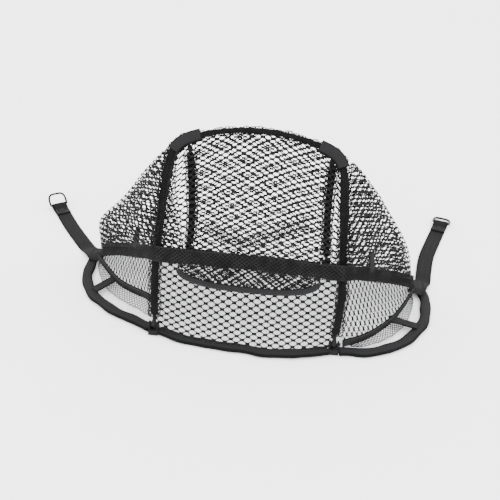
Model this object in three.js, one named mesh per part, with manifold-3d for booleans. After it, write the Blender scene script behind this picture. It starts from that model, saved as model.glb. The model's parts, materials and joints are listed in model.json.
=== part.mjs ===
// Folding crab trap: a netted hood on a spring-wire front bow, held up by two prop rods inside the back
// of the hood. The bow folds back and the rods fold forward, down on a taped base hoop.
// Millimetres, +Z up, the front (low net wall with the bait pocket) faces -Y, the base lies on z = 0.
import * as THREE from 'three';
import { mergeVertices } from 'three/addons/utils/BufferGeometryUtils.js';
import Module from 'manifold-3d';

const wasm = await Module();
wasm.setup();

// Driving dimensions
const hoopWireRadius = 2;
const bowWireRadius = 2.25;
const hemWidth = 16;
const hemHeight = 7;
const hoopHeight = hemHeight / 2; // centre line of the base wire
const runningGap = 0.4; // between a wire and the eye, loop or ferrule around it
const ferruleRadius = 3.4;
const clothGap = 1.2; // between a wire and the cloth sewn round it
const cornerX = 260; // half the distance between the strap corners
const cornerY = 64;
const hingeHeight = 14;
const frontHinge = { x: 126, y: -102 };
const backHinge = { x: 112, y: 103 };
const frontTop = { y: 30, z: 238 };
const rodRadius = 2.25;
const rodTip = { x: 100, y: 33, z: 222 };
const sleeveRadius = 5;
const netThickness = 1.2;
const bandHeight = 20;
const bandThickness = 3;
const bandFrontZ = 112;
const webbingThickness = 1.8;
const strapWidth = 25;
const ringWireRadius = 1.5;
const ringWidth = 32; // outside width of a D-ring
const ringDepth = 25;
const leftRingTilt = 45; // degrees above the ground, held up by the bend of its loop
const rightRingTilt = -6.5; // its far side lies on the ground
const clip = { length: 14, depth: 16, cheek: 2.5, top: 19, bodyTop: 8, pinRadius: 1.5 };

// Finishes
function finish(color, roughness, metalness) {
  return new THREE.MeshStandardMaterial({ color, roughness, metalness });
}
const netFinish = finish(0x161617, 0.85, 0);
const fineNetFinish = finish(0xb9bcc0, 0.7, 0);
const webbingFinish = finish(0x0e0e10, 0.8, 0);
const wireFinish = finish(0x1c1d1f, 0.45, 0.6);
const plasticFinish = finish(0x141416, 0.5, 0);
const ringFinish = finish(0x2a2b2d, 0.4, 0.8);

const trap = new THREE.Group();

function addPiece(name, geometry, material) {
  const mesh = new THREE.Mesh(geometry, material);
  mesh.name = name;
  trap.add(mesh);
  return mesh;
}

function point(x, y, z) {
  return new THREE.Vector3(x, y, z);
}

// ---- Booleans ---------------------------------------------------------------------------------------

function toSolid(geometry) {
  const bare = geometry.clone();
  bare.deleteAttribute('normal');
  bare.deleteAttribute('uv');
  const merged = mergeVertices(bare, 1e-4);
  return new wasm.Manifold(new wasm.Mesh({
    numProp: 3,
    vertProperties: new Float32Array(merged.attributes.position.array),
    triVerts: new Uint32Array(merged.index.array),
  }));
}

function toGeometry(solid) {
  const mesh = solid.getMesh();
  const geometry = new THREE.BufferGeometry();
  geometry.setAttribute('position', new THREE.BufferAttribute(new Float32Array(mesh.vertProperties), 3));
  geometry.setIndex(new THREE.BufferAttribute(new Uint32Array(mesh.triVerts), 1));
  geometry.computeVertexNormals();
  return geometry;
}

function join(first, ...others) {
  let solid = toSolid(first);
  for (const other of others) {
    solid = solid.add(toSolid(other));
  }
  return toGeometry(solid);
}

function cut(first, ...tools) {
  let solid = toSolid(first);
  for (const tool of tools) {
    solid = solid.subtract(toSolid(tool));
  }
  return toGeometry(solid);
}

// ---- Shape helpers ----------------------------------------------------------------------------------

function box(sizeX, sizeY, sizeZ, centre) {
  const geometry = new THREE.BoxGeometry(sizeX, sizeY, sizeZ);
  geometry.translate(centre.x, centre.y, centre.z);
  return geometry;
}

function cylinderAlongX(radius, length, centre, sides = 12) {
  const geometry = new THREE.CylinderGeometry(radius, radius, length, sides);
  geometry.rotateZ(Math.PI / 2);
  geometry.translate(centre.x, centre.y, centre.z);
  return geometry;
}

// A closed solid from a grid of points: rows of points are joined into skins and walls.
function gridSolid(upper, lower) {
  const columns = upper.length;
  const rows = upper[0].length;
  const positions = [];
  for (const layer of [upper, lower]) {
    for (const column of layer) {
      for (const p of column) {
        positions.push(p.x, p.y, p.z);
      }
    }
  }
  const top = (i, j) => i * rows + j;
  const bottom = (i, j) => columns * rows + i * rows + j;
  const indices = [];
  const quad = (a, b, c, d) => indices.push(a, b, c, a, c, d);
  for (let i = 0; i < columns - 1; i++) {
    for (let j = 0; j < rows - 1; j++) {
      quad(top(i, j), top(i + 1, j), top(i + 1, j + 1), top(i, j + 1));
      quad(bottom(i, j), bottom(i, j + 1), bottom(i + 1, j + 1), bottom(i + 1, j));
    }
    quad(top(i, 0), bottom(i, 0), bottom(i + 1, 0), top(i + 1, 0));
    quad(top(i, rows - 1), top(i + 1, rows - 1), bottom(i + 1, rows - 1), bottom(i, rows - 1));
  }
  for (let j = 0; j < rows - 1; j++) {
    quad(top(0, j), top(0, j + 1), bottom(0, j + 1), bottom(0, j));
    quad(top(columns - 1, j), bottom(columns - 1, j), bottom(columns - 1, j + 1), top(columns - 1, j + 1));
  }
  const geometry = new THREE.BufferGeometry();
  geometry.setAttribute('position', new THREE.Float32BufferAttribute(positions, 3));
  geometry.setIndex(indices);
  geometry.computeVertexNormals();
  return geometry;
}

// A sheet of even thickness over the surface pointAt(u, v), with u and v from 0 to 1.
function sheet(pointAt, columns, rows, thickness) {
  const step = 1e-3; // share of the surface used to find its slope
  const upper = [];
  const lower = [];
  for (let i = 0; i <= columns; i++) {
    upper.push([]);
    lower.push([]);
    for (let j = 0; j <= rows; j++) {
      const u = i / columns;
      const v = j / rows;
      const alongU = pointAt(u + step, v).sub(pointAt(u - step, v));
      const alongV = pointAt(u, v + step).sub(pointAt(u, v - step));
      const normal = alongU.cross(alongV).normalize().multiplyScalar(thickness / 2);
      upper[i].push(pointAt(u, v).add(normal));
      lower[i].push(pointAt(u, v).sub(normal));
    }
  }
  return gridSolid(upper, lower);
}

// A flat tape along a curve; across(t) is the direction of its width.
function tape(curve, across, width, thickness, steps) {
  const pointAt = (u, v) => {
    const t = THREE.MathUtils.clamp(u, 0, 1);
    const tangent = curve.getTangentAt(t);
    const centre = curve.getPointAt(t).addScaledVector(tangent, (u - t) * curve.getLength());
    return centre.addScaledVector(across(t), (v - 0.5) * width);
  };
  return sheet(pointAt, steps, 1, thickness);
}

// The stretch of a longer curve between two of its arc fractions.
class Stretch extends THREE.Curve {
  constructor(whole, from, to) {
    super();
    this.whole = whole;
    this.from = from;
    this.to = to;
  }
  getPoint(t, target = new THREE.Vector3()) {
    const fraction = this.from + (this.to - this.from) * t;
    return target.copy(this.whole.getPointAt(THREE.MathUtils.euclideanModulo(fraction, 1)));
  }
}

function circleShape(radius, sides, Kind = THREE.Shape) {
  const corners = [];
  for (let i = 0; i < sides; i++) {
    const angle = (i + 0.5) / sides * 2 * Math.PI;
    corners.push(new THREE.Vector2(radius * Math.cos(angle), radius * Math.sin(angle)));
  }
  return new Kind(corners);
}

function along(curve, shape, steps) {
  const options = { steps, bevelEnabled: false, extrudePath: curve, curveSegments: 4 };
  return new THREE.ExtrudeGeometry(shape, options);
}

function tubeShape(outerRadius, innerRadius, sides = 10) {
  const shape = circleShape(outerRadius, sides);
  shape.holes.push(circleShape(innerRadius, sides, THREE.Path));
  return shape;
}

// ---- Base hoop --------------------------------------------------------------------------------------

// Plan of the base wire, anticlockwise from the front middle; the cloth pulls the left front corner back.
const hoopPlan = [
  [0, -122], [62, -119], [126, -103], [172, -95], [207, -80], [239, -50], [256, -14], [262, 24],
  [cornerX, cornerY], [247, 84], [221, 94], [186, 99], [148, 102], [112, 103], [50, 103],
  [0, 102], [-50, 103], [-112, 103], [-148, 102], [-186, 99], [-221, 94], [-247, 84],
  [-cornerX, cornerY], [-262, 24], [-253, -12], [-231, -42], [-199, -69], [-165, -87],
  [-126, -102], [-62, -118],
];
const hoopPoints = hoopPlan.map(([x, y]) => point(x, y, hoopHeight));
const hoop = new THREE.CatmullRomCurve3(hoopPoints, true, 'centripetal');
hoop.arcLengthDivisions = 1200;

// The arc fraction of the hoop nearest to a place in plan.
function hoopFraction(x, y) {
  const samples = 1200;
  let best = 0;
  let nearest = Infinity;
  for (let i = 0; i < samples; i++) {
    const p = hoop.getPointAt(i / samples);
    const distance = Math.hypot(p.x - x, p.y - y);
    if (distance < nearest) {
      nearest = distance;
      best = i / samples;
    }
  }
  return best;
}

const hoopLength = hoop.getLength();
const places = {
  frontRight: hoopFraction(frontHinge.x, frontHinge.y),
  right: hoopFraction(cornerX, cornerY),
  backRight: hoopFraction(backHinge.x, backHinge.y),
  backLeft: hoopFraction(-backHinge.x, backHinge.y),
  left: hoopFraction(-cornerX, cornerY),
  frontLeft: hoopFraction(-frontHinge.x, frontHinge.y),
};

function addHoopWires() {
  const gap = 0.3 / hoopLength; // between the two wires' ends
  const section = circleShape(hoopWireRadius, 6);
  const frontRun = new Stretch(hoop, places.left - 1 + gap, places.right - gap);
  addPiece('front_hoop_wire', along(frontRun, section, 48),
    wireFinish);
  addPiece('back_hoop_wire', along(new Stretch(hoop, places.right + gap, places.left - gap), section, 40),
    wireFinish);
}

function addFerrules() {
  const half = 11 / hoopLength; // of a ferrule's length
  const section = tubeShape(ferruleRadius, hoopWireRadius + 2 * runningGap, 8);
  for (const side of ['left', 'right']) {
    const curve = new Stretch(hoop, places[side] - half, places[side] + half);
    addPiece(`${side}_hoop_ferrule`, along(curve, section, 3), wireFinish);
  }
}

// Binding tape around the wire: a flat oval with a round way through it for the wire.
function hemShape() {
  const halfHeight = hemHeight / 2;
  const halfWidth = hemWidth / 2;
  const chamfer = 2.2;
  const shape = new THREE.Shape([
    new THREE.Vector2(-halfHeight, -halfWidth + chamfer),
    new THREE.Vector2(-halfHeight, halfWidth - chamfer),
    new THREE.Vector2(-halfHeight + chamfer, halfWidth),
    new THREE.Vector2(halfHeight - chamfer, halfWidth),
    new THREE.Vector2(halfHeight, halfWidth - chamfer),
    new THREE.Vector2(halfHeight, -halfWidth + chamfer),
    new THREE.Vector2(halfHeight - chamfer, -halfWidth),
    new THREE.Vector2(-halfHeight + chamfer, -halfWidth),
  ]);
  shape.holes.push(circleShape(hoopWireRadius + clothGap, 6, THREE.Path));
  return shape;
}

function addHems() {
  const clipGap = (clip.length / 2 + 4.5) / hoopLength;
  const cornerGap = 12 / hoopLength;
  const section = hemShape();
  const runs = [
    ['front_hem', places.frontLeft - 1 + clipGap, places.frontRight - clipGap, 14],
    ['right_hem', places.frontRight + clipGap, places.right - cornerGap, 14],
    ['back_right_hem', places.right + cornerGap, places.backRight - clipGap, 12],
    ['back_hem', places.backRight + clipGap, places.backLeft - clipGap, 8],
    ['back_left_hem', places.backLeft + clipGap, places.left - cornerGap, 12],
    ['left_hem', places.left + cornerGap, places.frontLeft - clipGap, 14],
  ];
  for (const [name, from, to, steps] of runs) {
    addPiece(name, along(new Stretch(hoop, from, to), section, steps), webbingFinish);
  }
}

function addFloorNet() {
  const inset = 11.5;
  const outline = [];
  const corners = 40;
  for (let i = 0; i < corners; i++) {
    const p = hoop.getPointAt(i / corners);
    const tangent = hoop.getTangentAt(i / corners);
    outline.push(new THREE.Vector2(p.x - tangent.y * inset, p.y + tangent.x * inset));
  }
  const geometry = new THREE.ExtrudeGeometry(new THREE.Shape(outline), { depth: 1, bevelEnabled: false });
  addPiece('floor_net', geometry, fineNetFinish);
}

// ---- Hinge clips and pins ---------------------------------------------------------------------------

function hingeClip(x, y) {
  const body = box(clip.length, clip.depth, clip.bodyTop, point(x, y, clip.bodyTop / 2));
  const cheekX = clip.length / 2 - clip.cheek / 2;
  const cheekZ = (clip.bodyTop + hingeHeight) / 2 - 0.5;
  const cheekTall = hingeHeight - clip.bodyTop + 1;
  const parts = [];
  for (const side of [-1, 1]) {
    const place = point(x + side * cheekX, y, hingeHeight);
    parts.push(box(clip.cheek, 10, cheekTall, point(place.x, y, cheekZ)));
    parts.push(cylinderAlongX(clip.top - hingeHeight, clip.cheek, place, 12));
  }
  const wireWay = box(clip.length + 2, 9.6, 4.8, point(x, y, hoopHeight));
  const pinHole = cylinderAlongX(clip.pinRadius + runningGap / 2, clip.length + 2, point(x, y, hingeHeight));
  return cut(join(body, ...parts), wireWay, pinHole);
}

function hingePin(x, y, side) {
  const half = clip.length / 2 + 0.6;
  const profile = [
    new THREE.Vector2(0, -half), new THREE.Vector2(clip.pinRadius, -half),
    new THREE.Vector2(clip.pinRadius, half),
    new THREE.Vector2(2.8, half), new THREE.Vector2(2.2, half + 1.4), new THREE.Vector2(0, half + 1.4),
  ];
  const geometry = new THREE.LatheGeometry(profile, 12);
  geometry.rotateZ(-side * Math.PI / 2);
  geometry.translate(x, y, hingeHeight);
  return geometry;
}

function addHinges() {
  for (const [end, hinge] of [['front', frontHinge], ['back', backHinge]]) {
    for (const [name, side] of [['left', -1], ['right', 1]]) {
      addPiece(`${end}_${name}_hinge_clip`, hingeClip(side * hinge.x, hinge.y), plasticFinish);
      addPiece(`${end}_${name}_hinge_pin`, hingePin(side * hinge.x, hinge.y, side), wireFinish);
    }
  }
}

// ---- Front bow and prop rods ------------------------------------------------------------------------

// A bow lies in the plane through its hinge line; s is the distance from the hinge up that plane.
function bowPlane(hinge, top) {
  const rise = new THREE.Vector3(0, top.y - hinge.y, top.z - hingeHeight);
  rise.normalize();
  return {
    at: (x, s) => point(x, hinge.y + rise.y * s, hingeHeight + rise.z * s),
    outward: point(0, -rise.z, rise.y).multiplyScalar(Math.sign(rise.y)),
    rise,
  };
}

const frontPlane = bowPlane(frontHinge, frontTop);
const rodPlane = bowPlane(backHinge, rodTip);
const eyeRadius = 4.2;
const legStart = 3; // the wire starts outside the eye's hole

// Half outline of the front bow in its plane, from a foot to the crown: leg, corner, then a shallow arch.
const frontOutline = [
  [126, legStart], [128, 62], [127.5, 135], [125, 185], [121, 225], [116, 243], [107, 255], [90, 264],
  [48, 276], [0, 281],
];
// A prop rod in its plane, gently bowed, from its foot to its tip.
const rodOutline = [[backHinge.x, legStart], [108, 42], [103.5, 100], [101, 160], [rodTip.x, 219.5]];

function bowCurve(plane, outline) {
  const right = outline.map(([x, s]) => plane.at(x, s));
  const left = outline.slice(0, -1).reverse().map(([x, s]) => plane.at(-x, s));
  const curve = new THREE.CatmullRomCurve3([...right, ...left], false, 'centripetal');
  curve.arcLengthDivisions = 800;
  return curve;
}

const frontBow = bowCurve(frontPlane, frontOutline);

// The wire's end is bent to an eye that turns on a hinge pin.
function hingeEye(x, y) {
  const half = 3.6;
  const hole = clip.pinRadius + runningGap;
  const profile = [
    new THREE.Vector2(hole, -half), new THREE.Vector2(eyeRadius, -half), new THREE.Vector2(eyeRadius, half),
    new THREE.Vector2(hole, half), new THREE.Vector2(hole, -half),
  ];
  const eye = new THREE.LatheGeometry(profile, 14);
  eye.rotateZ(Math.PI / 2);
  eye.translate(x, y, hingeHeight);
  return eye;
}

// The bow and its sleeves share these stations, so that their centre lines agree.
const bowSteps = 44;
const sleeveFootStep = 1.5;
const archStep = 16;

function addFrontBow() {
  const wire = along(frontBow, circleShape(bowWireRadius, 8), bowSteps);
  const eyes = [-1, 1].map((side) => hingeEye(side * frontHinge.x, frontHinge.y));
  addPiece('front_bow', join(wire, ...eyes), wireFinish);
  const section = tubeShape(sleeveRadius, bowWireRadius + clothGap, 8);
  const seam = 0.15; // half the gap between two sleeves, in stations
  const runs = [
    ['front_right_sleeve', sleeveFootStep, archStep - seam],
    ['front_top_sleeve', archStep + seam, bowSteps - archStep - seam],
    ['front_left_sleeve', bowSteps - archStep + seam, bowSteps - sleeveFootStep],
  ];
  for (const [name, from, to] of runs) {
    const stretch = new Stretch(frontBow, from / bowSteps, to / bowSteps);
    addPiece(name, along(stretch, section, Math.round(to - from)), netFinish);
  }
}

function addPropRods() {
  const rodSteps = 18;
  const sleeveFrom = 1;
  const sleeveTo = 16;
  const tipProfile = [
    new THREE.Vector2(0, 0.3), new THREE.Vector2(3.6, 0.3), new THREE.Vector2(4.2, 3),
    new THREE.Vector2(3.4, 6), new THREE.Vector2(1.6, 7.6), new THREE.Vector2(0, 8),
  ];
  for (const [name, side] of [['left', -1], ['right', 1]]) {
    const points = rodOutline.map(([x, s]) => rodPlane.at(side * x, s));
    const curve = new THREE.CatmullRomCurve3(points, false, 'centripetal');
    const wire = along(curve, circleShape(rodRadius, 8), rodSteps);
    addPiece(`${name}_prop_rod`, join(wire, hingeEye(side * backHinge.x, backHinge.y)), wireFinish);
    const section = tubeShape(sleeveRadius, rodRadius + clothGap, 8);
    const stretch = new Stretch(curve, sleeveFrom / rodSteps, sleeveTo / rodSteps);
    addPiece(`${name}_prop_sleeve`, along(stretch, section, sleeveTo - sleeveFrom), netFinish);
    const tip = addPiece(`${name}_prop_tip`, new THREE.LatheGeometry(tipProfile, 12), plasticFinish);
    tip.quaternion.setFromUnitVectors(new THREE.Vector3(0, 1, 0), curve.getTangentAt(1));
    tip.position.copy(curve.getPointAt(1));
  }
}

// Reinforcing patches wrapped over the two top corners of the front bow.
function addCornerPatches() {
  const radius = sleeveRadius + 1.4;
  for (const [name, from] of [['right', 0.352], ['left', 1 - 0.352 - 0.06]]) {
    const curve = new Stretch(frontBow, from, from + 0.06);
    const pointAt = (u, v) => {
      const tangent = curve.getTangent(THREE.MathUtils.clamp(u, 0.01, 0.99));
      const away = frontPlane.outward.clone();
      const upward = tangent.clone().cross(away).normalize();
      const angle = THREE.MathUtils.lerp(-0.35, Math.PI + 0.1, v);
      const p = curve.getPoint(u);
      p.addScaledVector(away, radius * Math.cos(angle));
      return p.addScaledVector(upward, radius * Math.sin(angle));
    };
    addPiece(`${name}_corner_patch`, sheet(pointAt, 4, 7, 1.4), webbingFinish);
  }
}

// ---- Waist band and walls ---------------------------------------------------------------------------

function archHeight(outline, x) {
  for (let i = 1; i < outline.length; i++) {
    const [x0, s0] = outline[i - 1];
    const [x1, s1] = outline[i];
    if (Math.abs(x) >= x1 && Math.abs(x) <= x0) {
      return THREE.MathUtils.lerp(s0, s1, (x0 - Math.abs(x)) / (x0 - x1));
    }
  }
  return outline[0][1];
}

const bandLine = new THREE.CatmullRomCurve3([
  point(-246, 57, 22), point(-195, 9, 60), point(-151, -39, 92), point(-127, -64, 106), point(-60, -68, 110),
  point(0, -69, bandFrontZ),
  point(60, -68, 110), point(127, -64, 106), point(151, -39, 92), point(195, 9, 60), point(246, 57, 22),
], false, 'centripetal');

// Up the wall: leaning back over the front, nearly upright beside the strap corners.
function bandAcross() {
  return point(0, 0.36, 0.93).normalize();
}

function addWaistBand() {
  addPiece('waist_band', tape(bandLine, bandAcross, bandHeight, bandThickness, 28), netFinish);
}

// A wall point between two places, with an outward swell that is greatest half way.
function between(from, to, v, swell) {
  return from.clone().lerp(to, v).addScaledVector(swell, Math.sin(Math.PI * THREE.MathUtils.clamp(v, 0, 1)));
}

const lowerFront = {
  halfWidth: 112,
  foot: (x) => point(x, -119 + 0.00105 * x * x, hemHeight + 1.4),
  head: (x) => point(x, -70.5 + 0.0004 * x * x, bandFrontZ - bandHeight / 2 - 4 - 0.0003 * x * x),
};

function lowerFrontPoint(x, v) {
  return between(lowerFront.foot(x), lowerFront.head(x), v, point(0, -3, -1));
}

function addLowerFrontNet() {
  const pointAt = (u, v) => lowerFrontPoint((u - 0.5) * 2 * lowerFront.halfWidth, v);
  addPiece('lower_front_net', sheet(pointAt, 8, 3, netThickness), netFinish);
}

function addLowerSideNets() {
  for (const [name, side] of [['left', -1], ['right', 1]]) {
    const corner = point(side * 222, 20, 22);
    const low = point(side * 138, -86, 44);
    const high = point(side * 138, -54, 82);
    const pointAt = (u, v) => {
      const edge = low.clone().lerp(high, v);
      const start = corner.clone().add(point(0, 0, 6 * v));
      return between(start, edge, u, point(side * 4, -4, -4 * (1 - v)));
    };
    addPiece(`lower_${name}_net`, sheet(pointAt, 5, 3, netThickness), netFinish);
  }
}

function addHoodFrontNet() {
  const halfWidth = 103;
  const footS = 128;
  const pointAt = (u, v) => {
    const x = (u - 0.5) * 2 * halfWidth;
    const s = THREE.MathUtils.lerp(footS, archHeight(frontOutline, x * 0.98) - sleeveRadius - 3.5, v);
    const forward = 17 * (1 - v) ** 2;
    return frontPlane.at(x, s).add(point(0, -forward, 0));
  };
  addPiece('hood_front_net', sheet(pointAt, 10, 6, netThickness), netFinish);
}

// The back wall rises from the back of the hoop, outside the prop rods, to the front bow's crown.
function addBackNet() {
  const halfWidth = 92;
  const bulge = 7;
  const pointAt = (u, v) => {
    const x = (u - 0.5) * 2 * halfWidth;
    const foot = point(x, 108, hemHeight + 2);
    const behindCrown = 9 + 0.0022 * x * x; // clear of the rods' tips
    const head = frontPlane.at(x, archHeight(frontOutline, x)).add(point(0, behindCrown, 0));
    const share = Math.sin(Math.PI * THREE.MathUtils.clamp(v, 0, 1));
    return foot.lerp(head, v).add(point(0, bulge * Math.sqrt(share), 0));
  };
  addPiece('back_net', sheet(pointAt, 8, 8, netThickness), netFinish);
}

// Each side of the hood fans out from a top corner to the band, the strap corner and the back of the hoop.
function addHoodSideNets() {
  for (const [name, side] of [['left', -1], ['right', 1]]) {
    const apex = point(side * 135, 34, 228);
    const foot = new THREE.CatmullRomCurve3([
      point(side * 140, -38, 110), point(side * 196, 22, 74), point(side * 244, 70, 26),
      point(side * 236, 87, 12), point(side * 214, 94, 11), point(side * 182, 99, 11),
      point(side * 154, 102, 11), point(side * 130, 103, 12),
    ], false, 'centripetal');
    const pointAt = (u, v) => {
      const t = THREE.MathUtils.clamp(u, 0, 1);
      const start = foot.getPoint(t).addScaledVector(foot.getTangent(t), (u - t) * 300);
      const swell = point(side * 14 * Math.sin(Math.PI * t), 0, 6 * Math.sin(Math.PI * t));
      return between(start, apex, v * 0.9, swell);
    };
    addPiece(`hood_${name}_net`, sheet(pointAt, 12, 6, netThickness), netFinish);
  }
}

// ---- Bait pocket ------------------------------------------------------------------------------------

const pocket = { halfWidth: 100, drop: 20, standOff: 5, trimWidth: 9 };

// How far the pocket's lower edge hangs below the band at x, for a pocket made smaller by the given margin.
function pocketDrop(x, margin) {
  const share = Math.min(Math.abs(x) / (pocket.halfWidth - margin), 1);
  return (pocket.drop - margin) * Math.sqrt(1 - share ** 3);
}

function pocketPoint(x, down) {
  const wallHeight = 90;
  return lowerFrontPoint(x, 1 - (down + 1.5) / wallHeight).add(point(0, -pocket.standOff, -2));
}

function addBaitPocket() {
  const netMargin = pocket.trimWidth + 0.6;
  const reach = pocket.halfWidth - netMargin - 3;
  const netPoint = (u, v) => {
    const x = (u - 0.5) * 2 * reach;
    return pocketPoint(x, v * (pocketDrop(x, netMargin) - 0.5) + 0.5);
  };
  addPiece('bait_pocket_net', sheet(netPoint, 12, 2, netThickness), netFinish);
  const trimPoint = (u, v) => {
    const angle = Math.PI * THREE.MathUtils.clamp(u, 0, 1);
    const margin = pocket.trimWidth * v;
    const x = -(pocket.halfWidth - margin) * Math.cos(angle) * (1 - 0.02 * Math.sin(angle));
    return pocketPoint(x, pocketDrop(x, margin) + 0.2 + (u - THREE.MathUtils.clamp(u, 0, 1)) * -60);
  };
  addPiece('bait_pocket_trim', sheet(trimPoint, 32, 1, webbingThickness), webbingFinish);
}

// ---- Side entrances ---------------------------------------------------------------------------------

function addEntrances() {
  const up = point(0, 0.25, 0.97).normalize();
  const flapTipZ = 8;
  for (const [name, side] of [['left', -1], ['right', 1]]) {
    const lip = new THREE.CatmullRomCurve3([
      point(side * 238, 42, 11.5), point(side * 212, -4, 14.5), point(side * 176, -52, 22),
      point(side * 140, -88, 33),
    ], false, 'centripetal');
    addPiece(`${name}_entrance_webbing`, tape(lip, () => up, 11, webbingThickness, 14), webbingFinish);
    const start = point(side * 203, -23, 10.5);
    const end = point(side * 236, -41, 10.5);
    const crossing = new THREE.LineCurve3(start, end);
    const across = point(-side * (start.y - end.y), -Math.abs(end.x - start.x), 0).normalize();
    const divider = tape(crossing, () => across, 12, webbingThickness, 2);
    addPiece(`${name}_entrance_divider`, divider, webbingFinish);
    const flapPoint = (u, v) => {
      const t = THREE.MathUtils.clamp(u, 0, 1);
      const p = lip.getPoint(0.1 + 0.8 * t).addScaledVector(lip.getTangent(t), (u - t) * 160);
      p.addScaledVector(point(-side * 0.72, 0.62, 0), 4 + 14 * v);
      p.z = THREE.MathUtils.lerp(p.z - 1, flapTipZ, v);
      return p;
    };
    addPiece(`${name}_entrance_flap`, sheet(flapPoint, 7, 2, netThickness), netFinish);
  }
}

function addBandTabs() {
  for (const [name, side] of [['left', -1], ['right', 1]]) {
    const foot = point(side * 172, -13.5, 90);
    const tab = new THREE.LineCurve3(foot, foot.clone().add(point(-side * 3, 3, 22)));
    const across = point(side * 0.68, 0.73, 0);
    addPiece(`${name}_band_tab`, tape(tab, () => across, 11, webbingThickness, 3), webbingFinish);
  }
}

// ---- Straps and D-rings -----------------------------------------------------------------------------

const strapRoutes = {
  left: [[-278, 82], [-294, 105], [-322, 144], [-351, 184], [-371, 211]],
  right: [[279, 82], [284, 120], [291, 166], [304, 224], [320, 283]],
};
const strapLoopRadius = 4.1;
const loopWidth = 23;

function strapEnd(side) {
  const route = strapRoutes[side];
  const end = new THREE.Vector2(...route[route.length - 1]);
  const before = new THREE.Vector2(...route[route.length - 2]);
  return { end, heading: end.clone().sub(before).normalize() };
}

function strapSolid(side) {
  const z = webbingThickness / 2;
  const routePoints = strapRoutes[side].map(([x, y]) => point(x, y, z));
  const route = new THREE.CatmullRomCurve3(routePoints, false, 'centripetal');
  const across = (t) => {
    const tangent = route.getTangentAt(t);
    return point(tangent.y, -tangent.x, 0);
  };
  const { end, heading } = strapEnd(side);
  const loopShape = tubeShape(strapLoopRadius, ringWireRadius + runningGap, 12);
  const loop = new THREE.ExtrudeGeometry(loopShape, { depth: loopWidth, bevelEnabled: false, steps: 1 });
  loop.translate(0, 0, -loopWidth / 2);
  const turn = new THREE.Matrix4().makeBasis(
    point(heading.x, heading.y, 0), point(0, 0, 1), point(heading.y, -heading.x, 0));
  loop.applyMatrix4(turn);
  loop.translate(end.x, end.y, strapLoopRadius);
  return join(tape(route, across, strapWidth, webbingThickness, 14), loop);
}

// A round wire bent to a closed D: a straight bar in the strap's loop and a rounded bow beyond it.
function ringSolid() {
  const halfBar = ringWidth / 2 - ringWireRadius;
  const depth = ringDepth - 2 * ringWireRadius;
  const corner = 2.4;
  const plan = new THREE.Path();
  plan.moveTo(0, -halfBar + corner);
  plan.lineTo(0, halfBar - corner);
  plan.quadraticCurveTo(0, halfBar, corner, halfBar);
  plan.lineTo(depth * 0.45, halfBar);
  plan.quadraticCurveTo(depth, halfBar, depth, halfBar * 0.35);
  plan.lineTo(depth, -halfBar * 0.35);
  plan.quadraticCurveTo(depth, -halfBar, depth * 0.45, -halfBar);
  plan.lineTo(corner, -halfBar);
  plan.quadraticCurveTo(0, -halfBar, 0, -halfBar + corner);
  const stations = 36;
  const sides = 6;
  const positions = [];
  const indices = [];
  for (let i = 0; i < stations; i++) {
    const p = plan.getPointAt(i / stations);
    const tangent = plan.getTangentAt(i / stations);
    for (let k = 0; k < sides; k++) {
      const angle = k / sides * 2 * Math.PI;
      const out = ringWireRadius * Math.cos(angle);
      positions.push(p.x + tangent.y * out, p.y - tangent.x * out, ringWireRadius * Math.sin(angle));
      const a = i * sides + k;
      const b = i * sides + (k + 1) % sides;
      const c = ((i + 1) % stations) * sides + k;
      const d = ((i + 1) % stations) * sides + (k + 1) % sides;
      indices.push(a, d, b, a, c, d);
    }
  }
  const geometry = new THREE.BufferGeometry();
  geometry.setAttribute('position', new THREE.Float32BufferAttribute(positions, 3));
  geometry.setIndex(indices);
  geometry.computeVertexNormals();
  return geometry;
}

function addStraps() {
  for (const [side, tilt] of [['left', leftRingTilt], ['right', rightRingTilt]]) {
    addPiece(`${side}_strap`, strapSolid(side), webbingFinish);
    const { end, heading } = strapEnd(side);
    const ring = addPiece(`${side}_ring`, ringSolid(), ringFinish);
    const lift = THREE.MathUtils.degToRad(tilt);
    const out = point(heading.x * Math.cos(lift), heading.y * Math.cos(lift), Math.sin(lift));
    const across = point(-heading.y, heading.x, 0);
    const turn = new THREE.Matrix4().makeBasis(out, across, out.clone().cross(across));
    ring.quaternion.setFromRotationMatrix(turn);
    ring.position.set(end.x, end.y, strapLoopRadius);
  }
}

// Webbing gussets that tie band, entrance webbing and strap to each strap corner, over the ferrule.
function addCornerGussets() {
  for (const [name, side] of [['left', -1], ['right', 1]]) {
    const outline = new THREE.Shape([
      new THREE.Vector2(side * 246, 44), new THREE.Vector2(side * 266, 46), new THREE.Vector2(side * 265, 79),
      new THREE.Vector2(side * 249, 77),
    ]);
    const geometry = new THREE.ExtrudeGeometry(outline, { depth: webbingThickness, bevelEnabled: false });
    geometry.translate(0, 0, hemHeight + 1.2);
    addPiece(`${name}_corner_gusset`, geometry, webbingFinish);
  }
}

addHoopWires();
addFerrules();
addHems();
addFloorNet();
addHinges();
addFrontBow();
addPropRods();
addCornerPatches();
addWaistBand();
addLowerFrontNet();
addLowerSideNets();
addHoodFrontNet();
addBackNet();
addHoodSideNets();
addBaitPocket();
addEntrances();
addBandTabs();
addCornerGussets();
addStraps();

export default trap;
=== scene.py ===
import json
import math

import bpy
import numpy as np
from mathutils import Matrix, Vector


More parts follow.
